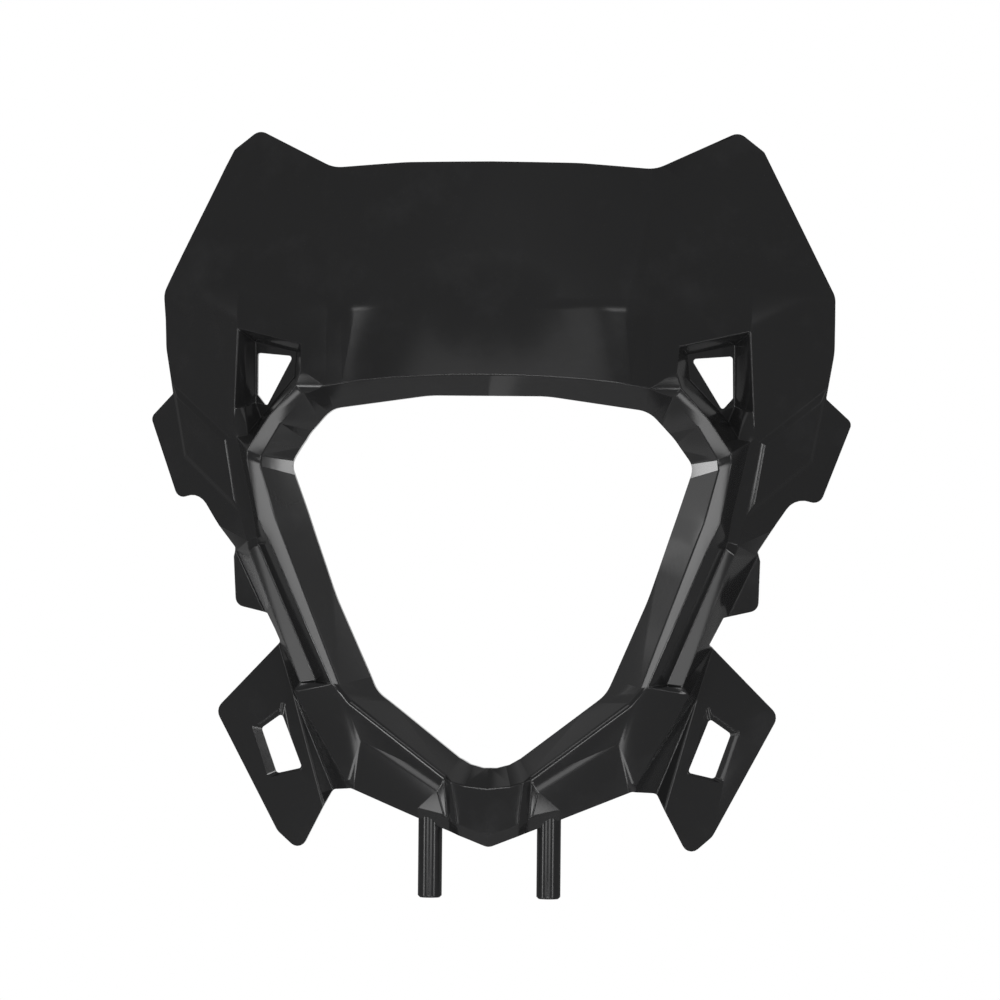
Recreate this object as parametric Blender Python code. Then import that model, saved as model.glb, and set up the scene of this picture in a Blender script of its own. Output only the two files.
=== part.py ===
# Motorcycle headlight mask, one injection-moulded shell with two fender pegs.
# X runs across, -Y faces the road ahead and +Z is up. The origin lies between the
# pegs' shoulders. Sizes are in millimetres and become metres in metres().
from math import cos, pi, radians, sin, tan

import bmesh
import bpy
from mathutils import Vector

# Driving sizes of the moulding
WALL = 2.6
STEEPEST_WALL = 0.42
CREASE_ROUND = 0.6
CREASE_ANGLE = 20.0
CREASE_STEPS = 2
SMOOTH_ANGLE = 38.0
LIP_OVERRUN = 4.0

# Forward lean of the whole face, for each millimetre above the pegs
LEAN = 0.122

# Fender pegs, their webs and the origin's height
PEG_RADIUS = 5.0
PEG_SPACING = 49.4
PEG_SET_BACK = 3.6
PEG_TIP = -31.0
PEG_ROOT = 25.0
PEG_CHAMFER = 0.9
PEG_SIDES = 28
WEB_THICKNESS = 2.4
WEB_FOOT = 3.0

# Lamp screw bosses behind the frame, each with a blind pilot hole
BOSS_PLACES = [(92.5, 143), (73, 84)]
BOSS_RADIUS = 5.2
BOSS_REAR = 17.0
PILOT_RADIUS = 1.9
PILOT_DEPTH = 9.0
BOSS_SIDES = 20

# Raised pads on the strap lobes
PAD_BORDER = 2.6
PAD_HEIGHT = 1.0

# Depth of the lower windows' bevelled rims
RIM_DEPTH = 1.6

# Cutting tools, which run right through the shell from front to back
TOOL_FRONT = -60.0
TOOL_BACK = 110.0
CORNER_STEPS = 5

# Planes of the wing with its strap lobe and of the lower lobe: set back, slope across, slope up
WING_PLANE = (-81.9, 0.9, 0.0394)
LOBE_PLANE = (7.3, 0.227, 0.063)


def on_wing(x, z):
    return (x, WING_PLANE[0] + WING_PLANE[1] * x + WING_PLANE[2] * z, z)


def on_lobe(x, z):
    return (x, LOBE_PLANE[0] + LOBE_PLANE[1] * x + LOBE_PLANE[2] * z, z)


def leaned(place):
    """Lean a point of the face forward, the more the higher it lies."""
    x, y, z = place
    return (x, y - LEAN * z, z)


# Shield rows from top to bottom: centre, inner crease, horn crease, wing crease, wing edge
SHIELD_TOP = [(0, 20, 280), (65.3, 31, 279.2), (103.8, 55, 296), (121.3, 56, 286.7), (131, 59, 273)]
SHIELD_HIGH = [(0, 12, 255.6), (64.6, 21.5, 255.3), (85.2, 34, 256.8), (108, 42, 257), (133, 54.5, 257)]
SHIELD_LOW = [(0, 4.5, 233.3), (61, 13, 233.7), (74.7, 23, 234.2), (107.1, 33.5, 234.6), (146, 55, 233)]
SHIELD_FOOT = [(0, -1.5, 212.9), (55.7, 4, 211.5), (68, 10, 210.9), (106.8, 27, 220.2), (151, 56, 216.5)]
BROW_LIP = [(0, -16.5, 185.3), (52, -15, 182.7), (66.5, -12, 180.3)]
CROWN_COLUMNS = 4
PANEL_COLUMNS = (2, 3, 2)
ROW_STEPS = 3

# Outer layer's step, from the brow's end round the upper window's pocket
BROW_END = (77.3, -4, 187.5)
POCKET_TOP_IN = (78.1, 4, 197.9)
POCKET_TOP_OUT = on_wing(106.5, 204.6)
POCKET_SIDE_LOW = on_wing(108, 171.5)
WING_FOOT_TOP = on_wing(109, 161.1)
WING_EDGE = [on_wing(151.6, 199.9), on_wing(145.3, 181.7)]

# Upper window's pocket floor and its surround
FLOOR_FOOT = (81.7, 13.7, 184.5)
FLOOR_TOP_IN = (80.9, 13.5, 194.9)
FLOOR_TOP_OUT = (99.9, 29.5, 199.5)
FLOOR_SIDE_LOW = (99.9, 29.5, 174)
FLOOR_END = (97.4, 27, 167.5)
SHELF_TOP = (103.7, 24.5, 201.1)
SHELF_LOW = (103.7, 25, 172.4)
PLATEAU = (101.8, 16, 160.2)

# Frame round the lamp opening, from the brow down to the chin
# Rear edge of the lamp wall
BROW_REAR = [(0, -2, 177), (52, 1, 173), (64, 5, 169.5)]
WALL_REAR = [(70, 8.5, 164.5), (76.3, 12.5, 157.9), (81, 16.5, 150), (82.3, 15.1, 144), (77.5, 16.5, 129),
             (73.6, 16, 118.8), (50.9, 14.5, 60), (44.5, 12.5, 50.4), (13, 4, 26.4)]
CHIN_REAR = [(11.5, 3.8, 25.3), (7, 3.4, 23), (0, 3, 21.8)]
# Inner and outer edge of the front ridge
RIDGE_IN = [(75.9, -2.9, 176.9), (86, -1.4, 165.1), (94.1, 0.1, 151.8), (94.5, -0.2, 147.3),
            (88.5, 1.4, 125.5), (84.5, 1.5, 115.2), (62.5, 2.6, 57.2), (57, 2, 50.6), (17.3, -5, 20.2)]
RIDGE_OUT = [(79.6, -5.5, 180.5), (90.7, -4.3, 168.1), (99.9, -3, 154.2), (100.1, -3, 149.7),
             (95.4, -2, 125.5), (90.6, -1.5, 115.2), (65.8, 1, 57.6), (58.6, 0.6, 49.2), (18, -6, 18.5)]
# Valley and crest of the rear ridge
VALLEY = [(106.9, 20, 159.4), (99.7, 15, 128.7), (97.9, 14.2, 118), (97.2, 13.5, 115.1), (73.1, 12.5, 58.3)]
CREST = [on_wing(110.7, 159.4), (105.1, 18, 127.5), (102.3, 16.3, 116), (101, 11, 112.6), (79.7, 9.1, 57.6)]
BAND_TOP = (72.9, 7, 57.6)

# Strap lobe, side wall's foot, middle tab and lower lobe, run out past the outline
PAD_OUT = [on_wing(137.9, 182.1), on_wing(132, 150.9)]
STRAP_EDGE = [on_wing(154, 166), on_wing(141, 125), on_wing(124, 119)]
SIDE_FOOT = [on_wing(118.6, 124), (109.3, 36, 112), on_lobe(91, 73.5), on_lobe(84.7, 52.7)]
TAB_EDGE = [(116, 40, 113), (113, 39, 80)]
LOBE_EDGE = [on_lobe(*p) for p in ((119, 58), (122, 36), (92, -18), (76, -20), (70.5, 0))]

# Chin band, its channel beside the lower lobe and the keel
BAND_CORNER = (82.4, 11, 54)
BAND_FOOT = (60.6, 9, 16.6)
CHANNEL_FLOOR = (65.5, 28, 6)
CHANNEL_EDGE = on_lobe(72.6, 10)
BAND_CREASE = [(53.8, 2, 34.1), (20.9, -6.8, 13.4), (18.3, -4.9, 3.6)]
HEM = [(57, 8.6, 17.4), (29.5, -1.6, 6), (16.6, -3.4, 1.6)]
HEM_UNDER = [(58, 14, 4), (28.5, 4, -5), (15.5, 2, -8.5)]
KEEL_TOP = [(15.2, -10, 17.9), (9.5, -8.6, 16.2), (0, -9.4, 15.1)]
KEEL_LOW = [(12.9, -7.4, 0.3), (8.5, -6.4, -1.8), (0, -7.2, -4.6)]
KEEL_UNDER = [(12, 0, -9.5), (8, 0.4, -11.5), (0, 0, -14)]

# Outline and openings as the mould shows them from the front: x, z and corner radius
OUTLINE = [(0, 273.8, 0), (36, 273.5, 120), (66.8, 271.5, 14), (100.3, 288.3, 5), (110.9, 280, 3),
           (140.9, 220.2, 9), (140.6, 197, 30), (137.3, 177.8, 1), (148, 167.9, 3), (134.9, 133.2, 4),
           (125.1, 136.9, 8), (109.5, 113.6, 1), (110.5, 109.5, 1), (109.8, 89.2, 4), (95.6, 86, 1),
           (89.8, 74.6, 1), (118.6, 45, 5), (91.5, -5.7, 7), (81.7, -14.3, 4), (68, 12.2, 3),
           (58.8, 13.6, 3), (0, -9.8, 5)]
OPENING = [(0, 177, 0), (24, 177, 60), (65.7, 171.2, 12), (75.5, 160.5, 30), (83.7, 148.6, 7),
           (65.1, 93.7, 120), (47.8, 54, 15), (0, 17.4, 21)]
UPPER_WINDOW = [(82.5, 193.1, 1.2), (99, 194.7, 1.2), (99.2, 177.4, 1), (94.9, 172.3, 1)]
LOWER_WINDOW = [(89.9, 43.7, 1.2), (98.8, 37.4, 1.5), (92.1, 18.5, 1.5), (81.1, 21.1, 1.2)]
LOWER_RIM = [(88.6, 49.5, 1.5), (103, 38.4, 2.5), (95.7, 16.6, 2), (80.6, 20.1, 1.2)]


def metres(value):
    return value * 0.001


def clear_scene():
    for thing in list(bpy.data.objects):
        bpy.data.objects.remove(thing)


def link_mesh(name, bm):
    mesh = bpy.data.meshes.new(name)
    bm.to_mesh(mesh)
    bm.free()
    thing = bpy.data.objects.new(name, mesh)
    bpy.context.collection.objects.link(thing)
    return thing


# Cage of the outer surface
class Cage:
    """Right half of the outer surface, whose panels share the points of the rails."""

    def __init__(self):
        self.bm = bmesh.new()
        self.points = {}

    def point(self, place):
        key = tuple(round(v, 3) for v in place)
        if key not in self.points:
            self.points[key] = self.bm.verts.new([metres(v) for v in leaned(place)])
        return self.points[key]

    def panel(self, *places):
        return self.bm.faces.new([self.point(p) for p in places])

    def loft(self, rail, other):
        for a, b, c, d in zip(rail, rail[1:], other[1:], other):
            self.panel(a, b, c, d)


def crowned(row):
    """Add columns between the centre and the inner crease, on a smooth crown."""
    centre = Vector(row[0])
    crease = Vector(row[1])
    columns = []
    for k in range(CROWN_COLUMNS):
        t = k / CROWN_COLUMNS
        place = centre.lerp(crease, t)
        place.y = centre.y + (crease.y - centre.y) * t * t
        place.z = centre.z + (crease.z - centre.z) * t * t
        columns.append(tuple(place))
    return columns + list(row[1:])


def divided(row):
    """Split the panels beside the crown into narrower columns."""
    columns = crowned(row[:2])[:-1]
    for start, end, parts in zip(row[1:], row[2:], PANEL_COLUMNS):
        columns += [tuple(Vector(start).lerp(Vector(end), k / parts)) for k in range(parts)]
    return columns + [row[-1]]


def curved_rows(rows):
    """Add rows between the given ones, so that every column runs in one smooth curve."""
    full = [rows[0]]
    for i in range(len(rows) - 1):
        before = rows[max(i - 1, 0)]
        after = rows[min(i + 2, len(rows) - 1)]
        for k in range(1, ROW_STEPS):
            t = k / ROW_STEPS
            weights = (-t + 2 * t ** 2 - t ** 3, 2 - 5 * t ** 2 + 3 * t ** 3,
                       t + 4 * t ** 2 - 3 * t ** 3, t ** 3 - t ** 2)
            full.append([tuple(sum((Vector(p) * w for p, w in zip(column, weights)), Vector()) / 2)
                         for column in zip(before, rows[i], rows[i + 1], after)])
        full.append(rows[i + 1])
    return full


def run_on(front, rear):
    """Carry a wall on past its rear edge, so that the opening's cut trims it."""
    start = Vector(front)
    end = Vector(rear)
    return tuple(end + (end - start).normalized() * LIP_OVERRUN)


def add_shield(cage):
    rows = [divided(r) for r in (SHIELD_TOP, SHIELD_HIGH, SHIELD_LOW, SHIELD_FOOT)]
    rows = curved_rows(rows)
    for upper, lower in zip(rows, rows[1:]):
        cage.loft(upper, lower)
    foot = rows[-1]
    horn = CROWN_COLUMNS + PANEL_COLUMNS[0]
    wing = horn + PANEL_COLUMNS[1]
    lip = divided(BROW_LIP)
    cage.loft(foot[:len(lip)], lip)
    cage.panel(*foot[horn:wing + 1], POCKET_TOP_OUT, POCKET_TOP_IN)
    cage.panel(foot[horn], POCKET_TOP_IN, BROW_END, BROW_LIP[-1])
    cage.panel(*foot[wing:], WING_EDGE[0], POCKET_TOP_OUT)
    cage.panel(POCKET_TOP_OUT, *WING_EDGE, PAD_OUT[0], CREST[0], WING_FOOT_TOP, POCKET_SIDE_LOW)


def add_pocket(cage):
    cage.panel(POCKET_TOP_IN, POCKET_TOP_OUT, FLOOR_TOP_OUT, FLOOR_TOP_IN)
    cage.panel(POCKET_TOP_OUT, SHELF_TOP, FLOOR_TOP_OUT)
    cage.panel(BROW_END, POCKET_TOP_IN, FLOOR_TOP_IN, FLOOR_FOOT)
    cage.panel(POCKET_TOP_OUT, POCKET_SIDE_LOW, SHELF_LOW, SHELF_TOP)
    cage.panel(SHELF_TOP, SHELF_LOW, FLOOR_SIDE_LOW, FLOOR_TOP_OUT)
    cage.panel(FLOOR_FOOT, FLOOR_TOP_IN, FLOOR_TOP_OUT, FLOOR_SIDE_LOW, FLOOR_END)
    cage.panel(FLOOR_END, FLOOR_SIDE_LOW, SHELF_LOW, PLATEAU)
    cage.panel(PLATEAU, SHELF_LOW, POCKET_SIDE_LOW, WING_FOOT_TOP, VALLEY[0])
    cage.panel(VALLEY[0], WING_FOOT_TOP, CREST[0])


def add_frame(cage):
    front = divided(BROW_LIP) + RIDGE_IN + KEEL_TOP
    rear = divided(BROW_REAR) + WALL_REAR + CHIN_REAR
    cage.loft(front, [run_on(f, r) for f, r in zip(front, rear)])
    cage.loft(RIDGE_OUT, RIDGE_IN)
    cage.panel(BROW_LIP[-1], BROW_END, RIDGE_OUT[0], RIDGE_IN[0])
    cage.panel(BROW_END, FLOOR_FOOT, RIDGE_OUT[0])
    cage.panel(RIDGE_IN[-1], RIDGE_OUT[-1], KEEL_TOP[0])


def add_sides(cage):
    bow, corner, corner_low, bend, kink, low = RIDGE_OUT[1:7]
    cage.panel(RIDGE_OUT[0], FLOOR_FOOT, FLOOR_END, bow)
    cage.panel(bow, FLOOR_END, corner)
    cage.panel(corner, FLOOR_END, PLATEAU)
    cage.panel(corner, PLATEAU, VALLEY[0])
    cage.panel(corner, VALLEY[0], corner_low)
    cage.panel(corner_low, VALLEY[0], VALLEY[1], bend)
    cage.panel(bend, VALLEY[1], VALLEY[2], kink)
    cage.panel(kink, VALLEY[2], VALLEY[3])
    cage.panel(kink, VALLEY[3], VALLEY[4], low)
    cage.loft(CREST, VALLEY)
    cage.panel(low, VALLEY[4], BAND_TOP)
    cage.panel(VALLEY[4], CREST[4], BAND_TOP)


def add_strap_lobe(cage):
    pad_top, pad_low = PAD_OUT
    pad = cage.panel(CREST[0], pad_top, pad_low, CREST[1])
    pad.normal_update()
    if pad.normal.y > 0:
        pad.normal_flip()
    bmesh.ops.inset_individual(cage.bm, faces=[pad], thickness=metres(PAD_BORDER),
                               depth=metres(PAD_HEIGHT), use_even_offset=True)
    cage.panel(pad_top, WING_EDGE[1], STRAP_EDGE[0], pad_low)
    cage.panel(pad_low, *STRAP_EDGE, SIDE_FOOT[0])
    cage.panel(CREST[1], pad_low, SIDE_FOOT[0])


def add_side_wall(cage):
    strap_foot, tab_foot, notch, channel_head = SIDE_FOOT
    cage.panel(CREST[1], strap_foot, tab_foot, CREST[2])
    cage.panel(CREST[2], tab_foot, CREST[3])
    cage.panel(CREST[3], tab_foot, notch, CREST[4])
    cage.panel(CREST[4], notch, channel_head, BAND_CORNER)
    cage.panel(tab_foot, TAB_EDGE[0], TAB_EDGE[1], notch)
    cage.panel(strap_foot, STRAP_EDGE[2], TAB_EDGE[0], tab_foot)


def add_lower_lobe(cage):
    notch, channel_head = SIDE_FOOT[2:]
    cage.panel(notch, *LOBE_EDGE, CHANNEL_EDGE, channel_head)
    cage.panel(channel_head, CHANNEL_EDGE, CHANNEL_FLOOR)
    cage.panel(CHANNEL_EDGE, LOBE_EDGE[-1], CHANNEL_FLOOR)


def add_chin(cage):
    ridge, bend, ridge_end = RIDGE_OUT[6:]
    crease, crease_end, crease_low = BAND_CREASE
    channel_head = SIDE_FOOT[3]
    cage.panel(channel_head, CHANNEL_FLOOR, BAND_FOOT, BAND_CORNER)
    cage.panel(ridge, BAND_TOP, CREST[4], BAND_CORNER)
    cage.panel(ridge, BAND_CORNER, BAND_FOOT)
    cage.panel(ridge, BAND_FOOT, crease, bend)
    cage.panel(bend, crease, crease_end, ridge_end)
    cage.panel(crease, BAND_FOOT, HEM[0])
    cage.panel(crease, HEM[0], HEM[1], crease_end)
    cage.panel(crease_end, HEM[1], crease_low)
    cage.panel(ridge_end, crease_end, crease_low, HEM[2])
    cage.panel(crease_low, HEM[1], HEM[2])
    cage.panel(BAND_FOOT, CHANNEL_FLOOR, HEM_UNDER[0], HEM[0])
    cage.loft(HEM, HEM_UNDER)
    cage.panel(KEEL_TOP[0], ridge_end, HEM[2], KEEL_LOW[0])
    cage.loft(KEEL_TOP, KEEL_LOW)
    cage.loft(KEEL_LOW, KEEL_UNDER)
    cage.panel(HEM[2], HEM_UNDER[2], KEEL_UNDER[0], KEEL_LOW[0])


def make_cage():
    cage = Cage()
    for add in (add_shield, add_pocket, add_frame, add_sides, add_strap_lobe, add_side_wall,
                add_lower_lobe, add_chin):
        add(cage)
    for face in cage.bm.faces:
        face.normal_update()
        if face.normal.y > 0:
            face.normal_flip()
    return cage


def round_creases(bm):
    """Round every crease of the open surface that is sharper than the angle."""
    creases = [e for e in bm.edges if len(e.link_faces) == 2 and e.calc_face_angle() > radians(CREASE_ANGLE)]
    bmesh.ops.bevel(bm, geom=creases, offset=metres(CREASE_ROUND), segments=CREASE_STEPS, profile=0.5,
                    affect="EDGES", clamp_overlap=True)
    bmesh.ops.triangulate(bm, faces=bm.faces)


def add_back(bm, depth_behind):
    """Close the open surface with a back and a rim; the centre line stays open for the mirror."""
    rim = [e for e in bm.edges if e.is_boundary and max(abs(v.co.x) for v in e.verts) > metres(0.01)]
    front = list(bm.faces)
    back = {v: bm.verts.new(v.co + Vector((0, depth_behind(v), 0))) for v in list(bm.verts)}
    for face in front:
        bm.faces.new([back[v] for v in reversed(face.verts)])
    for edge in rim:
        start = edge.link_loops[0].vert
        end = edge.other_vert(start)
        bm.faces.new((end, start, back[start], back[end]))


def wall_depth(vert):
    """Front-to-back depth of the wall, larger where a panel is steep."""
    facing = min(-face.normal.y for face in vert.link_faces)
    return metres(WALL) / max(facing, STEEPEST_WALL)


def mirror_half(half):
    mirror = half.modifiers.new("other half", "MIRROR")
    mirror.merge_threshold = 0.0001


def make_skin():
    bm = make_cage().bm
    round_creases(bm)
    add_back(bm, wall_depth)
    skin = link_mesh("headlight_mask", bm)
    mirror_half(skin)
    return skin


def make_core():
    """Everything behind the middle of the wall, which trims what stands behind it."""
    bm = make_cage().bm
    bmesh.ops.triangulate(bm, faces=bm.faces)
    bmesh.ops.translate(bm, verts=bm.verts, vec=(0, metres(WALL / 2), 0))
    add_back(bm, lambda vert: metres(TOOL_BACK))
    core = link_mesh("core_tool", bm)
    mirror_half(core)
    hide_tool(core)
    return core


# Cutting tools
def filleted(corners, closed):
    """Turn corners of x, z and radius into an outline with arcs."""
    count = len(corners)
    places = []
    for i, (x, z, radius) in enumerate(corners):
        here = Vector((x, z))
        inside = closed or 0 < i < count - 1
        if radius == 0 or not inside:
            places.append(here)
            continue
        back = (Vector(corners[i - 1][:2]) - here).normalized()
        ahead = (Vector(corners[(i + 1) % count][:2]) - here).normalized()
        half = back.angle(ahead) / 2
        reach = radius / tan(half)
        middle = here + (back + ahead).normalized() * (radius / sin(half))
        start = here + back * reach - middle
        sweep = start.angle_signed(here + ahead * reach - middle)
        for k in range(CORNER_STEPS + 1):
            turn = -sweep * k / CORNER_STEPS
            places.append(middle + Vector((start.x * cos(turn) - start.y * sin(turn),
                                           start.x * sin(turn) + start.y * cos(turn))))
    return places


def mirrored(corners):
    """Close a half outline that starts and ends on the centre line."""
    other = [(-x, z, r) for x, z, r in reversed(corners) if x > 0]
    return corners + other


def hide_tool(tool):
    tool.hide_render = True
    tool.display_type = "WIRE"


def closed_loft(name, rings):
    """A closed body through rings of points, used as a tool."""
    bm = bmesh.new()
    loops = [[bm.verts.new([metres(v) for v in place]) for place in ring] for ring in rings]
    bm.faces.new(loops[0])
    bm.faces.new(loops[-1])
    count = len(loops[0])
    for near, far in zip(loops, loops[1:]):
        for i in range(count):
            j = (i + 1) % count
            bm.faces.new((near[i], near[j], far[j], far[i]))
    bmesh.ops.recalc_face_normals(bm, faces=bm.faces)
    tool = link_mesh(name, bm)
    hide_tool(tool)
    return tool


def through_tool(name, corners):
    """A tool with one outline right through the shell."""
    outline = filleted(corners, True)
    return closed_loft(name, [[(p.x, y, p.y) for p in outline] for y in (TOOL_FRONT, TOOL_BACK)])


def rim_tool(name, rim, window, side):
    """A shallow tool that narrows from the rim at the lobe's face to the window below it."""
    outer = filleted(rim, True)
    inner = filleted(window, True)
    rings = []
    for depth in (-RIM_DEPTH, RIM_DEPTH):
        ring = []
        for wide, narrow in zip(outer, inner):
            p = wide.lerp(narrow, depth / RIM_DEPTH)
            x, y, z = leaned(on_lobe(p.x, p.y))
            ring.append((side * x, y + depth, z))
        rings.append(ring)
    return closed_loft(name, rings)


def turned(name, sides, profile, place):
    """A round body from a profile of radius and height, placed by a function."""
    rings = []
    for radius, height in profile:
        turns = [2 * pi * k / sides for k in range(sides)]
        rings.append([place(radius * cos(t), radius * sin(t), height) for t in turns])
    return closed_loft(name, rings)


def combine(target, tool, operation):
    cut = target.modifiers.new(tool.name, "BOOLEAN")
    cut.operation = operation
    cut.solver = "EXACT"
    cut.object = tool


def cut_openings(skin):
    combine(skin, through_tool("outline_tool", mirrored(OUTLINE)), "INTERSECT")
    combine(skin, through_tool("opening_tool", mirrored(OPENING)), "DIFFERENCE")
    for side, word in ((1, "right"), (-1, "left")):
        for corners, name in ((UPPER_WINDOW, "upper"), (LOWER_WINDOW, "lower")):
            placed = [(side * x, z, r) for x, z, r in corners]
            combine(skin, through_tool(f"{name}_window_{word}", placed), "DIFFERENCE")
        combine(skin, rim_tool(f"lower_rim_{word}", LOWER_RIM, LOWER_WINDOW, side), "DIFFERENCE")


def add_pegs(skin, core):
    profile = [(PEG_RADIUS - PEG_CHAMFER, PEG_TIP), (PEG_RADIUS, PEG_TIP + PEG_CHAMFER),
               (PEG_RADIUS, PEG_ROOT)]
    for side, word in ((1, "right"), (-1, "left")):
        centre = side * PEG_SPACING / 2
        peg = turned(f"peg_{word}", PEG_SIDES, profile, lambda a, b, h: (centre + a, PEG_SET_BACK + b, h))
        edges = (centre - WEB_THICKNESS / 2, centre + WEB_THICKNESS / 2)
        corners = ((TOOL_FRONT, WEB_FOOT), (PEG_SET_BACK, WEB_FOOT), (PEG_SET_BACK, PEG_ROOT),
                   (TOOL_FRONT, PEG_ROOT))
        web = closed_loft(f"web_{word}", [[(x, y, z) for y, z in corners] for x in edges])
        combine(web, core, "INTERSECT")
        combine(skin, peg, "UNION")
        combine(skin, web, "UNION")


def add_bosses(skin, core):
    for number, (x, z) in enumerate(BOSS_PLACES, 1):
        for side, word in ((1, "right"), (-1, "left")):
            def place(a, b, h, middle=side * x, height=z):
                return (middle + a, h, height + b)
            rear = leaned((x, BOSS_REAR, z))[1]
            boss = turned(f"boss_{number}_{word}", BOSS_SIDES,
                          [(BOSS_RADIUS, TOOL_FRONT), (BOSS_RADIUS, rear)], place)
            combine(boss, core, "INTERSECT")
            combine(skin, boss, "UNION")
            pilot = turned(f"pilot_{number}_{word}", BOSS_SIDES,
                           [(PILOT_RADIUS, rear - PILOT_DEPTH), (PILOT_RADIUS, rear + WALL)], place)
            combine(skin, pilot, "DIFFERENCE")


def black_plastic():
    material = bpy.data.materials.new("gloss_black_plastic")
    material.use_nodes = True
    shader = material.node_tree.nodes["Principled BSDF"]
    shader.inputs["Base Color"].default_value = (0.016, 0.016, 0.017, 1)
    shader.inputs["Roughness"].default_value = 0.28
    return material


def finish(skin):
    """Keep the finished moulding as one plain mesh and take the tools away."""
    depsgraph = bpy.context.evaluated_depsgraph_get()
    mesh = bpy.data.meshes.new_from_object(skin.evaluated_get(depsgraph))
    skin.modifiers.clear()
    skin.data = mesh
    for thing in list(bpy.data.objects):
        if thing is not skin:
            bpy.data.objects.remove(thing)
    mesh.materials.clear()
    mesh.materials.append(black_plastic())
    mesh.shade_smooth()
    mesh.set_sharp_from_angle(angle=radians(SMOOTH_ANGLE))


def main():
    clear_scene()
    skin = make_skin()
    core = make_core()
    cut_openings(skin)
    add_pegs(skin, core)
    add_bosses(skin, core)
    finish(skin)


main()
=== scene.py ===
from math import cos, pi, radians, sin, tan

import bmesh
import bpy
from bpy.props import FloatProperty, FloatVectorProperty, PointerProperty
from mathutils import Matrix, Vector
from mathutils.geometry import intersect_point_line


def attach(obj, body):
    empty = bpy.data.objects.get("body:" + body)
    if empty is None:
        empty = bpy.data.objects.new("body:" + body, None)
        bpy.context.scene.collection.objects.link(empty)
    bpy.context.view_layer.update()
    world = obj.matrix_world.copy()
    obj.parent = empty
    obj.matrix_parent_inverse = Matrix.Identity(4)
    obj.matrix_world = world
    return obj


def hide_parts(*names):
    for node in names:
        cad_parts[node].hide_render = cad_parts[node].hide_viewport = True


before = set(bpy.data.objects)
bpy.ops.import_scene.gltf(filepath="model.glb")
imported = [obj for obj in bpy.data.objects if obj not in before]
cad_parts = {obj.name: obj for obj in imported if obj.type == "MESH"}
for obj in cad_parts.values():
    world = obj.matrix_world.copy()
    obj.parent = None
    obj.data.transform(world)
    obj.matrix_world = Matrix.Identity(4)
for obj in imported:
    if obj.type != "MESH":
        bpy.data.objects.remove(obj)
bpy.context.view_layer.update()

bl_info = {
    "name": "Motorcycle headlight mask",
    "version": (1, 0, 0),
    "blender": (4, 5, 0),
    "location": "3D View > Sidebar > Headlight mask",
    "description": "Finishes a gloss black headlight mask and sets it in a soft studio",
    "category": "Object",
}

MASK_NODE = "headlight_mask"
# Inner edge of the right rear ledge, from its top to its foot. Its points lie within the reach of it, and go
# past its ends by no more than the slack, which is a part of its length
LEDGE_EDGE = ((0.0972, -0.0005, 0.1151), (0.0731, 0.0054, 0.0583))
LEDGE_REACH = 0.0012
LEDGE_END_SLACK = 0.02
# Weight at which the largest panel at a corner sets the corner's shading
AREA_ONLY = 100

# Finish of the plastic. Specks fade between two distances from their middles, and the rarity is the part of
# them that is left out
GLOSS_IOR = 1.5
SPECK_FADE = (0.16, 0.06)
SPECK_RARITY = 0.93
HAZE_RANGE = (0.52, 0.78)
HAZE_STRENGTH = 0.35
DUST_DULLING = 0.4
WANDER_SCALE = 14.0
WANDER_RANGE = (0.3, 0.7)
RIPPLE_SCALE = 260.0
RIPPLE_STRENGTH = 0.06
RIPPLE_HEIGHT = 0.0002

# Each softbox stands where one set of the mask's panels mirrors it to the camera. A row gives its name, the
# setting for its radiance, its azimuth and elevation, and how wide and high it looks, these four in degrees
SOFTBOXES = (
    ("front_high", "front", (5, 12), (34, 11)),
    ("front_low", "front", (-4, -19), (28, 8)),
    ("key_right", "key", (45.5, -2), (9.5, 26)),
    ("key_left", "key", (-55, -3), (10, 27)),
    ("ledge_right", "ledge", (12, -6), (19, 11)),
    ("ledge_left", "ledge", (-22, -6), (19, 11)),
    ("pad_right", "pad", (59, 0), (8, 8)),
    ("corner_right", "corner", (36.5, -47.5), (17, 16)),
    ("corner_left", "corner", (-50, -44.5), (18, 15)),
    ("keel_right", "keel", (49, -27), (13, 8)),
    ("keel_left", "keel", (-63, -25), (18, 9)),
    ("keel_front_right", "keel", (19.5, -33), (9, 8)),
    ("keel_front_left", "keel", (-30.5, -32), (9, 8)),
    ("side_right", "side", (91, 14), (34, 24)),
    ("side_left", "side", (-100, 14), (34, 20)),
    ("top", "top", (0, 51), (50, 14)),
    ("ribbon_right", "ribbon", (31, 44.5), (11, 5)),
    ("ribbon_left", "ribbon", (-47, 42.5), (11, 6)),
)
# Cards in the opening, and the middles of the panels that they light from across it, as they are on the
# right. The left ones are mirrored
BAR_CARD = (0.019, 0.013, 0.1345)
BAR_CARD_SIZE = (0.03, 0.018)
BAR_MIDDLE = (0.0875, -0.0095, 0.1485)
WALL_CARD = (0, 0.005, 0.11)
WALL_CARD_SIZE = (0.07, 0.16)
WALL_MIDDLE = (0.08, 0.005, 0.11)
FLOOR_SIZE = 7
BACKDROP_HEIGHT = 5
PALE_PAINT = (0.8, 0.8, 0.8)
FARTHEST_VIEW = 50


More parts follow.
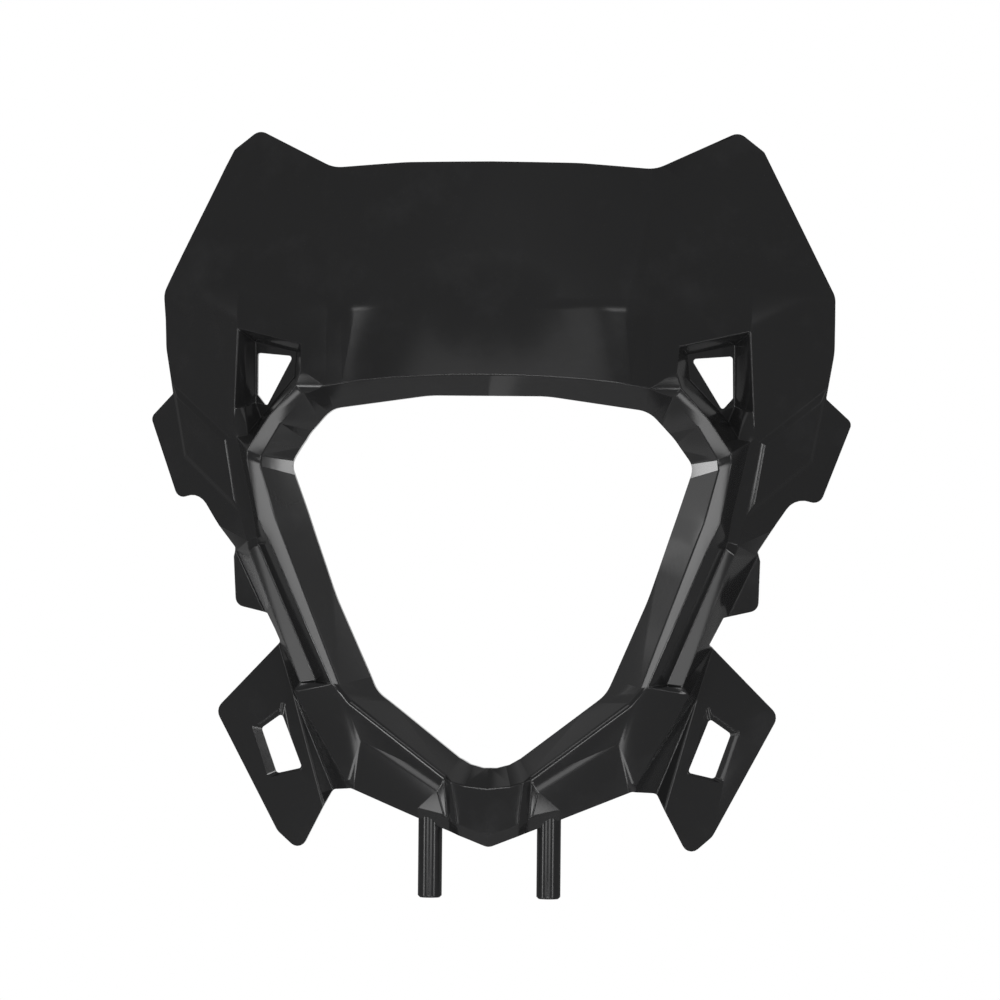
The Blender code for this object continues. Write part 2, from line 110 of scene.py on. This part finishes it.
# Settings
class MouldingSettings(bpy.types.PropertyGroup):
    """How the finished moulding's panels and creases are shaded."""
    weld: FloatProperty(
        name="Weld", default=0.00002, min=0.0, unit="LENGTH", precision=5,
        description="Distance below which points are one")
    flat_angle: FloatProperty(
        name="Flat angle", default=radians(1), subtype="ANGLE",
        description="Facets closer than this become one panel")
    smooth_angle: FloatProperty(
        name="Smooth angle", default=radians(42), subtype="ANGLE",
        description="Rounded creases softer than this shade smoothly")
    crisp_angle: FloatProperty(
        name="Crisp angle", default=radians(8), subtype="ANGLE",
        description="Plain creases of the frame stay crisp above this")
    panel_width: FloatProperty(
        name="Panel width", default=0.002, min=0.0, unit="LENGTH", precision=4,
        description="Narrower facets belong to a rounded crease")
    ledge_lift: FloatProperty(
        name="Ledge lift", default=0.0016, min=0.0, unit="LENGTH", precision=4,
        description="How far the rear ledge's inner edge comes forward")
    shield_foot: FloatProperty(
        name="Shield foot", default=0.2, unit="LENGTH",
        description="Above this height the shield's creases are soft")


class FinishSettings(bpy.types.PropertyGroup):
    """Colour and gloss of the black plastic."""
    colour: FloatVectorProperty(
        name="Plastic", subtype="COLOR", default=(0.018, 0.018, 0.0185), min=0.0, max=1.0,
        description="Colour of the moulded plastic")
    dust_colour: FloatVectorProperty(
        name="Dust", subtype="COLOR", default=(0.10, 0.10, 0.105), min=0.0, max=1.0,
        description="Colour of dust and rubbed spots")
    roughness: FloatProperty(
        name="Roughness", default=0.14, min=0.0, max=1.0, subtype="FACTOR",
        description="Roughness of the gloss surface")
    roughness_spread: FloatProperty(
        name="Roughness spread", default=0.03, min=0.0, max=1.0, subtype="FACTOR",
        description="How far the roughness wanders")
    dust: FloatProperty(
        name="Dust amount", default=0.25, min=0.0, max=1.0, subtype="FACTOR",
        description="How much dust lies on the surface")


class StageSettings(bpy.types.PropertyGroup):
    """Camera, lamps and room."""
    azimuth: FloatProperty(
        name="Azimuth", default=radians(4.5), subtype="ANGLE",
        description="Camera's turn to the mask's right")
    elevation: FloatProperty(
        name="Elevation", default=radians(0), subtype="ANGLE",
        description="Camera's rise above the horizon")
    roll: FloatProperty(
        name="Roll", default=radians(0.55), subtype="ANGLE",
        description="Camera's turn about its own axis")
    distance: FloatProperty(
        name="Distance", default=2.4, unit="LENGTH",
        description="From the camera to the mask's front")
    field: FloatProperty(
        name="Field", default=0.41, unit="LENGTH",
        description="Width of the view at the mask's front")
    target: FloatVectorProperty(
        name="Target", subtype="TRANSLATION", default=(0.0054, -0.0267, 0.1343),
        description="Point at the middle of the view")
    key: FloatProperty(
        name="Key lamps", default=4.3,
        description="Radiance of the two front softboxes")
    front: FloatProperty(
        name="Front lamps", default=9.0,
        description="Radiance of the softboxes above and below the camera")
    corner: FloatProperty(
        name="Corner lamps", default=3.5,
        description="Radiance of the two low front softboxes")
    keel: FloatProperty(
        name="Keel lamps", default=6.0,
        description="Radiance of the small lamps below the front")
    pad: FloatProperty(
        name="Pad lamp", default=5.0,
        description="Radiance of the small lamp for the pad's border")
    bar: FloatProperty(
        name="Bar cards", default=0.42,
        description="Radiance of the cards for the corner bars, before it is gathered in a cone")
    bar_cone: FloatProperty(
        name="Bar cone", default=radians(44), subtype="ANGLE",
        description="Angle of the cone that a bar card lights")
    wall: FloatProperty(
        name="Wall cards", default=0.3,
        description="Radiance of the cards for the opening's walls")
    side: FloatProperty(
        name="Side lamps", default=0.5,
        description="Radiance of the dim lamps beside the mask")
    top: FloatProperty(
        name="Top lamp", default=0.5,
        description="Radiance of the overhead softbox")
    ribbon: FloatProperty(
        name="Ribbon lamps", default=2.6,
        description="Radiance of the lamps for the lower ribbons")
    ledge: FloatProperty(
        name="Ledge lamps", default=2.2,
        description="Radiance of the lamps for the rear ledges")
    soft_edge: FloatProperty(
        name="Soft edge", default=0.3, min=0.01, max=1.0, subtype="FACTOR",
        description="Part of each softbox that fades to its rim")
    lamp_distance: FloatProperty(
        name="Lamp distance", default=1.8, unit="LENGTH",
        description="From every softbox to the target")
    room: FloatProperty(
        name="Room", default=0.16,
        description="Grey level of the room round the mask")
    floor_height: FloatProperty(
        name="Floor height", default=-1.5, unit="LENGTH",
        description="Height of the floor")
    backdrop_distance: FloatProperty(
        name="Backdrop distance", default=4.6, unit="LENGTH",
        description="How far behind the mask the backdrop stands")
    backdrop_width: FloatProperty(
        name="Backdrop width", default=1.5, unit="LENGTH",
        description="Width of the backdrop")
    backdrop_side: FloatProperty(
        name="Backdrop side", default=-0.35, unit="LENGTH",
        description="How far the backdrop's middle is to the right")
    backdrop_top: FloatProperty(
        name="Backdrop top", default=1.1, unit="LENGTH",
        description="Height of the backdrop's upper edge")


# Helpers
def start_clean():
    """Leave edit mode and deselect everything, so that an operator acts only on its own piece."""
    if bpy.context.object and bpy.context.object.mode != "OBJECT":
        bpy.ops.object.mode_set(mode="OBJECT")
    bpy.ops.object.select_all(action="DESELECT")


def pick(piece):
    start_clean()
    piece.select_set(True)
    bpy.context.view_layer.objects.active = piece


def add_node(tree, kind, place, **settings):
    node = tree.nodes.new(kind)
    node.location = place
    for name, value in settings.items():
        setattr(node, name, value)
    return node


def make_group(name, inputs, outputs):
    """A shader node group with named sockets: (name, type, default)."""
    group = bpy.data.node_groups.new(name, "ShaderNodeTree")
    for label, kind, default in inputs:
        socket = group.interface.new_socket(label, in_out="INPUT", socket_type=kind)
        if default is not None:
            socket.default_value = default
    for label, kind in outputs:
        group.interface.new_socket(label, in_out="OUTPUT", socket_type=kind)
    start = add_node(group, "NodeGroupInput", (-900, 0))
    end = add_node(group, "NodeGroupOutput", (700, 0))
    return group, start, end


# Finishes
def dust_group():
    """Sparse specks and soft hazy patches, as a mask between 0 and 1."""
    group, start, end = make_group(
        "handling_dust",
        [("Vector", "NodeSocketVector", None), ("Amount", "NodeSocketFloat", 0.3),
         ("Speck Scale", "NodeSocketFloat", 900.0), ("Haze Scale", "NodeSocketFloat", 30.0)],
        [("Mask", "NodeSocketFloat")])
    links = group.links
    specks = add_node(group, "ShaderNodeTexVoronoi", (-650, 200), feature="F1")
    links.new(start.outputs["Vector"], specks.inputs["Vector"])
    links.new(start.outputs["Speck Scale"], specks.inputs["Scale"])
    pin = add_node(group, "ShaderNodeMapRange", (-450, 200))
    pin.inputs["From Min"].default_value, pin.inputs["From Max"].default_value = SPECK_FADE
    links.new(specks.outputs["Distance"], pin.inputs["Value"])
    choose = add_node(group, "ShaderNodeSeparateColor", (-450, 0))
    links.new(specks.outputs["Color"], choose.inputs["Color"])
    few = add_node(group, "ShaderNodeMath", (-250, 0), operation="GREATER_THAN")
    few.inputs[1].default_value = SPECK_RARITY
    links.new(choose.outputs["Red"], few.inputs[0])
    spots = add_node(group, "ShaderNodeMath", (-60, 150), operation="MULTIPLY")
    links.new(pin.outputs["Result"], spots.inputs[0])
    links.new(few.outputs["Value"], spots.inputs[1])
    haze = add_node(group, "ShaderNodeTexNoise", (-650, -250))
    haze.inputs["Detail"].default_value = 6.0
    haze.inputs["Roughness"].default_value = 0.65
    links.new(start.outputs["Vector"], haze.inputs["Vector"])
    links.new(start.outputs["Haze Scale"], haze.inputs["Scale"])
    patch = add_node(group, "ShaderNodeMapRange", (-450, -250))
    patch.inputs["From Min"].default_value, patch.inputs["From Max"].default_value = HAZE_RANGE
    patch.inputs["To Max"].default_value = HAZE_STRENGTH
    links.new(haze.outputs["Fac"], patch.inputs["Value"])
    both = add_node(group, "ShaderNodeMath", (150, 0), operation="ADD", use_clamp=True)
    links.new(spots.outputs["Value"], both.inputs[0])
    links.new(patch.outputs["Result"], both.inputs[1])
    scaled = add_node(group, "ShaderNodeMath", (350, 0), operation="MULTIPLY", use_clamp=True)
    links.new(both.outputs["Value"], scaled.inputs[0])
    links.new(start.outputs["Amount"], scaled.inputs[1])
    links.new(scaled.outputs["Value"], end.inputs["Mask"])
    return group


def gloss_plastic(settings):
    """Gloss black plastic with a faint moulded ripple, wandering gloss and a little dust."""
    material = bpy.data.materials.new("gloss_black_plastic_finish")
    material.use_nodes = True
    tree = material.node_tree
    links = tree.links
    shader = tree.nodes["Principled BSDF"]
    shader.inputs["IOR"].default_value = GLOSS_IOR
    place = add_node(tree, "ShaderNodeTexCoord", (-1200, 0))
    dust = add_node(tree, "ShaderNodeGroup", (-800, 250), node_tree=dust_group())
    dust.inputs["Amount"].default_value = settings.dust
    links.new(place.outputs["Object"], dust.inputs["Vector"])
    colour = add_node(tree, "ShaderNodeMix", (-400, 300), data_type="RGBA")
    colour.inputs["A"].default_value = (*settings.colour, 1)
    colour.inputs["B"].default_value = (*settings.dust_colour, 1)
    links.new(dust.outputs["Mask"], colour.inputs["Factor"])
    links.new(colour.outputs["Result"], shader.inputs["Base Color"])
    wander = add_node(tree, "ShaderNodeTexNoise", (-1000, -50))
    wander.inputs["Scale"].default_value = WANDER_SCALE
    wander.inputs["Detail"].default_value = 3.0
    links.new(place.outputs["Object"], wander.inputs["Vector"])
    gloss = add_node(tree, "ShaderNodeMapRange", (-600, -50))
    gloss.inputs["From Min"].default_value, gloss.inputs["From Max"].default_value = WANDER_RANGE
    gloss.inputs["To Min"].default_value = settings.roughness - settings.roughness_spread
    gloss.inputs["To Max"].default_value = settings.roughness + settings.roughness_spread
    links.new(wander.outputs["Fac"], gloss.inputs["Value"])
    dull = add_node(tree, "ShaderNodeMath", (-300, -50), operation="MULTIPLY_ADD", use_clamp=True)
    dull.inputs[1].default_value = DUST_DULLING
    links.new(dust.outputs["Mask"], dull.inputs[0])
    links.new(gloss.outputs["Result"], dull.inputs[2])
    links.new(dull.outputs["Value"], shader.inputs["Roughness"])
    ripple = add_node(tree, "ShaderNodeTexNoise", (-800, -350))
    ripple.inputs["Scale"].default_value = RIPPLE_SCALE
    ripple.inputs["Detail"].default_value = 2.0
    links.new(place.outputs["Object"], ripple.inputs["Vector"])
    bump = add_node(tree, "ShaderNodeBump", (-400, -350))
    bump.inputs["Strength"].default_value = RIPPLE_STRENGTH
    bump.inputs["Distance"].default_value = RIPPLE_HEIGHT
    links.new(ripple.outputs["Fac"], bump.inputs["Height"])
    links.new(bump.outputs["Normal"], shader.inputs["Normal"])
    return material


def plain_material(name, colour, roughness):
    material = bpy.data.materials.new(name)
    material.use_nodes = True
    shader = material.node_tree.nodes["Principled BSDF"]
    shader.inputs["Base Color"].default_value = (*colour, 1)
    shader.inputs["Roughness"].default_value = roughness
    return material


def backdrop_material():
    """A wall that shows white to the camera and in gloss, and is plain paint to all other light."""
    material = plain_material("white_backdrop", PALE_PAINT, 0.9)
    tree = material.node_tree
    links = tree.links
    paint = tree.nodes["Principled BSDF"]
    glow = add_node(tree, "ShaderNodeEmission", (0, -300))
    path = add_node(tree, "ShaderNodeLightPath", (-500, 300))
    seen = add_node(tree, "ShaderNodeMath", (-250, 300), operation="MAXIMUM")
    links.new(path.outputs["Is Camera Ray"], seen.inputs[0])
    links.new(path.outputs["Is Glossy Ray"], seen.inputs[1])
    shown = add_node(tree, "ShaderNodeMath", (-50, 300), operation="MAXIMUM")
    links.new(seen.outputs["Value"], shown.inputs[0])
    links.new(path.outputs["Is Transmission Ray"], shown.inputs[1])
    blend = add_node(tree, "ShaderNodeMixShader", (250, 0))
    links.new(shown.outputs["Value"], blend.inputs["Fac"])
    links.new(paint.outputs["BSDF"], blend.inputs[1])
    links.new(glow.outputs["Emission"], blend.inputs[2])
    links.new(blend.outputs["Shader"], tree.nodes["Material Output"].inputs["Surface"])
    return material


# Operators
class HEADLIGHTMASK_OT_moulding(bpy.types.Operator):
    """Make the finished moulding: welded, its rear ledges brought forward and its creases shaded"""
    bl_idname = "headlightmask.moulding"
    bl_label = "Finished moulding"

    def execute(self, context):
        sizes = context.scene.mask_moulding
        shell = bpy.data.objects.new("mask_shell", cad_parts[MASK_NODE].data.copy())
        context.collection.objects.link(shell)
        pick(shell)
        bpy.ops.object.mode_set(mode="EDIT")
        bpy.ops.mesh.select_all(action="SELECT")
        bpy.ops.mesh.remove_doubles(threshold=sizes.weld)
        bpy.ops.mesh.select_all(action="DESELECT")
        bpy.ops.object.mode_set(mode="OBJECT")
        self.lift_ledges(shell, sizes)
        bpy.ops.object.mode_set(mode="EDIT")
        bpy.ops.mesh.select_all(action="SELECT")
        bpy.ops.mesh.dissolve_limited(angle_limit=sizes.flat_angle)
        bpy.ops.object.mode_set(mode="OBJECT")
        bpy.ops.object.shade_smooth_by_angle(angle=sizes.smooth_angle)
        self.keep_creases_crisp(shell, sizes)
        flat = shell.modifiers.new("flat panels", "WEIGHTED_NORMAL")
        flat.mode = "FACE_AREA"
        flat.weight = AREA_ONLY
        flat.keep_sharp = True
        shell.data.materials.clear()
        shell.data.materials.append(gloss_plastic(context.scene.mask_finish))
        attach(shell, "root")
        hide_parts(MASK_NODE)
        return {"FINISHED"}

    def lift_ledges(self, shell, sizes):
        """Bring the rear ledges' inner edges forward, so that the front ridge doesn't hide what they mirror."""
        top, foot = (Vector(end) for end in LEDGE_EDGE)
        for vertex in shell.data.vertices:
            place = Vector((abs(vertex.co.x), vertex.co.y, vertex.co.z))
            nearest, share = intersect_point_line(place, top, foot)
            beside = -LEDGE_END_SLACK < share < 1 + LEDGE_END_SLACK
            vertex.select = beside and (place - nearest).length < LEDGE_REACH
        bpy.ops.object.mode_set(mode="EDIT")
        bpy.ops.transform.translate(value=(0, -sizes.ledge_lift, 0))
        bpy.ops.object.mode_set(mode="OBJECT")

    def keep_creases_crisp(self, shell, sizes):
        """Mark the plain creases between the frame's wide panels sharp."""
        bm = bmesh.new()
        bm.from_mesh(shell.data)
        for edge in bm.edges:
            narrowest = min(face.calc_area() for face in edge.link_faces) / edge.calc_length()
            height = (edge.verts[0].co.z + edge.verts[1].co.z) / 2
            if height < sizes.shield_foot and narrowest > sizes.panel_width:
                if edge.calc_face_angle(0) > sizes.crisp_angle:
                    edge.smooth = False
        bm.to_mesh(shell.data)
        bm.free()


class HEADLIGHTMASK_OT_stage(bpy.types.Operator):
    """Set up the floor, the backdrop, the softboxes, the room's grey and the camera"""
    bl_idname = "headlightmask.stage"
    bl_label = "Studio"

    def execute(self, context):
        stage = context.scene.mask_stage
        self.add_floor(stage)
        self.add_backdrop(stage)
        self.add_softboxes(stage)
        self.add_cards(stage)
        self.add_room(context, stage)
        self.add_camera(context, stage)
        return {"FINISHED"}

    def add_floor(self, stage):
        start_clean()
        bpy.ops.mesh.primitive_plane_add(size=FLOOR_SIZE, location=(0, 0, stage.floor_height))
        floor = bpy.context.object
        floor.name = "studio_floor"
        bpy.ops.object.transform_apply(location=True, rotation=True, scale=True)
        floor.data.materials.append(plain_material("pale_floor", PALE_PAINT, 0.7))

    def add_backdrop(self, stage):
        start_clean()
        middle = (stage.backdrop_side, stage.backdrop_distance, stage.backdrop_top - BACKDROP_HEIGHT / 2)
        bpy.ops.mesh.primitive_plane_add(size=1, location=middle, rotation=(pi / 2, 0, 0))
        wall = bpy.context.object
        wall.name = "studio_backdrop"
        wall.scale = (stage.backdrop_width, BACKDROP_HEIGHT, 1)
        bpy.ops.object.transform_apply(location=True, rotation=True, scale=True)
        wall.data.materials.append(backdrop_material())

    def add_softboxes(self, stage):
        """Turn each softbox of the table to the target."""
        for name, strength, direction, spread in SOFTBOXES:
            azimuth, elevation = (radians(a) for a in direction)
            away = Vector((sin(azimuth) * cos(elevation), -cos(azimuth) * cos(elevation), sin(elevation)))
            place = Vector(stage.target) + away * stage.lamp_distance
            size = (2 * stage.lamp_distance * tan(radians(spread[0] * cos(elevation)) / 2),
                    2 * stage.lamp_distance * tan(radians(spread[1]) / 2))
            self.add_lamp(name + "_softbox", stage, getattr(stage, strength), place, stage.target, size)

    def add_cards(self, stage):
        """Small lamps inside the opening, for the panels that face across it."""
        for side, word in ((1, "right"), (-1, "left")):
            place, aim = self.across(side, BAR_CARD, BAR_MIDDLE)
            card = self.add_lamp("bar_" + word + "_card", stage, stage.bar, place, aim, BAR_CARD_SIZE)
            card.spread = stage.bar_cone
            place, aim = self.across(side, WALL_CARD, WALL_MIDDLE)
            self.add_lamp("wall_" + word + "_card", stage, stage.wall, place, aim, WALL_CARD_SIZE)

    def across(self, side, card, middle):
        """A card's place on its own side and its aim on the other side of the opening."""
        return (side * card[0], *card[1:]), (-side * middle[0], *middle[1:])

    def add_lamp(self, name, stage, radiance, place, aim, size):
        """A rectangular lamp that the camera doesn't see and that fades to its rim."""
        lamp = bpy.data.lights.new(name, "AREA")
        lamp.shape = "RECTANGLE"
        lamp.size, lamp.size_y = size
        lamp.energy = radiance * pi * size[0] * size[1]
        self.fade_rim(lamp, stage.soft_edge)
        source = bpy.data.objects.new(name, lamp)
        bpy.context.collection.objects.link(source)
        source.location = place
        source.rotation_euler = (Vector(aim) - Vector(place)).to_track_quat("-Z", "Y").to_euler()
        source.visible_camera = False
        return lamp

    def fade_rim(self, lamp, soft_edge):
        """Let the lamp's light fall off smoothly from its middle to its rim, both across and up."""
        lamp.use_nodes = True
        tree = lamp.node_tree
        links = tree.links
        place = add_node(tree, "ShaderNodeNewGeometry", (-1100, 0))
        parts = add_node(tree, "ShaderNodeSeparateXYZ", (-900, 0))
        links.new(place.outputs["Parametric"], parts.inputs["Vector"])
        both = add_node(tree, "ShaderNodeMath", (-150, 0), operation="MULTIPLY")
        for row, axis in enumerate("XY"):
            swing = add_node(tree, "ShaderNodeMath", (-700, -200 * row), operation="PINGPONG")
            swing.inputs[1].default_value = 0.5
            links.new(parts.outputs[axis], swing.inputs[0])
            fade = add_node(tree, "ShaderNodeMapRange", (-450, -200 * row), interpolation_type="SMOOTHSTEP")
            fade.inputs["From Max"].default_value = soft_edge / 2
            links.new(swing.outputs["Value"], fade.inputs["Value"])
            links.new(fade.outputs["Result"], both.inputs[row])
        links.new(both.outputs["Value"], tree.nodes["Emission"].inputs["Strength"])

    def add_room(self, context, stage):
        room = bpy.data.worlds.new("studio_room")
        room.use_nodes = True
        background = room.node_tree.nodes["Background"]
        background.inputs["Color"].default_value = (stage.room, stage.room, stage.room, 1)
        context.scene.world = room

    def add_camera(self, context, stage):
        lens = bpy.data.cameras.new("studio_camera")
        lens.lens = lens.sensor_width * stage.distance / stage.field
        lens.clip_end = FARTHEST_VIEW
        camera = bpy.data.objects.new("studio_camera", lens)
        context.collection.objects.link(camera)
        turn, rise = stage.azimuth, stage.elevation
        away = Vector((sin(turn) * cos(rise), -cos(turn) * cos(rise), sin(rise)))
        camera.location = Vector(stage.target) + away * stage.distance
        facing = (-away).to_track_quat("-Z", "Y").to_matrix().to_4x4()
        camera.rotation_euler = facing.to_euler()
        camera.rotation_euler.rotate_axis("Z", stage.roll)
        context.scene.camera = camera
        context.scene.view_settings.view_transform = "Standard"


class HEADLIGHTMASK_PT_panel(bpy.types.Panel):
    """Shows the settings of the moulding, the finish and the stage, with the operators' buttons"""
    bl_idname = "HEADLIGHTMASK_PT_panel"
    bl_label = "Headlight mask"
    bl_space_type = "VIEW_3D"
    bl_region_type = "UI"
    bl_category = "Headlight mask"

    def draw(self, context):
        layout = self.layout
        for settings, operator in ((context.scene.mask_moulding, HEADLIGHTMASK_OT_moulding),
                                   (context.scene.mask_finish, None),
                                   (context.scene.mask_stage, HEADLIGHTMASK_OT_stage)):
            box = layout.box()
            for name in settings.__annotations__:
                box.prop(settings, name)
            if operator:
                box.operator(operator.bl_idname)


CLASSES = (MouldingSettings, FinishSettings, StageSettings, HEADLIGHTMASK_OT_moulding,
           HEADLIGHTMASK_OT_stage, HEADLIGHTMASK_PT_panel)


def register():
    for cls in CLASSES:
        bpy.utils.register_class(cls)
    bpy.types.Scene.mask_moulding = PointerProperty(type=MouldingSettings)
    bpy.types.Scene.mask_finish = PointerProperty(type=FinishSettings)
    bpy.types.Scene.mask_stage = PointerProperty(type=StageSettings)


def unregister():
    del bpy.types.Scene.mask_stage
    del bpy.types.Scene.mask_finish
    del bpy.types.Scene.mask_moulding
    for cls in reversed(CLASSES):
        bpy.utils.unregister_class(cls)


def main():
    register()
    bpy.ops.headlightmask.moulding()
    bpy.ops.headlightmask.stage()


if __name__ == "__main__":
    main()
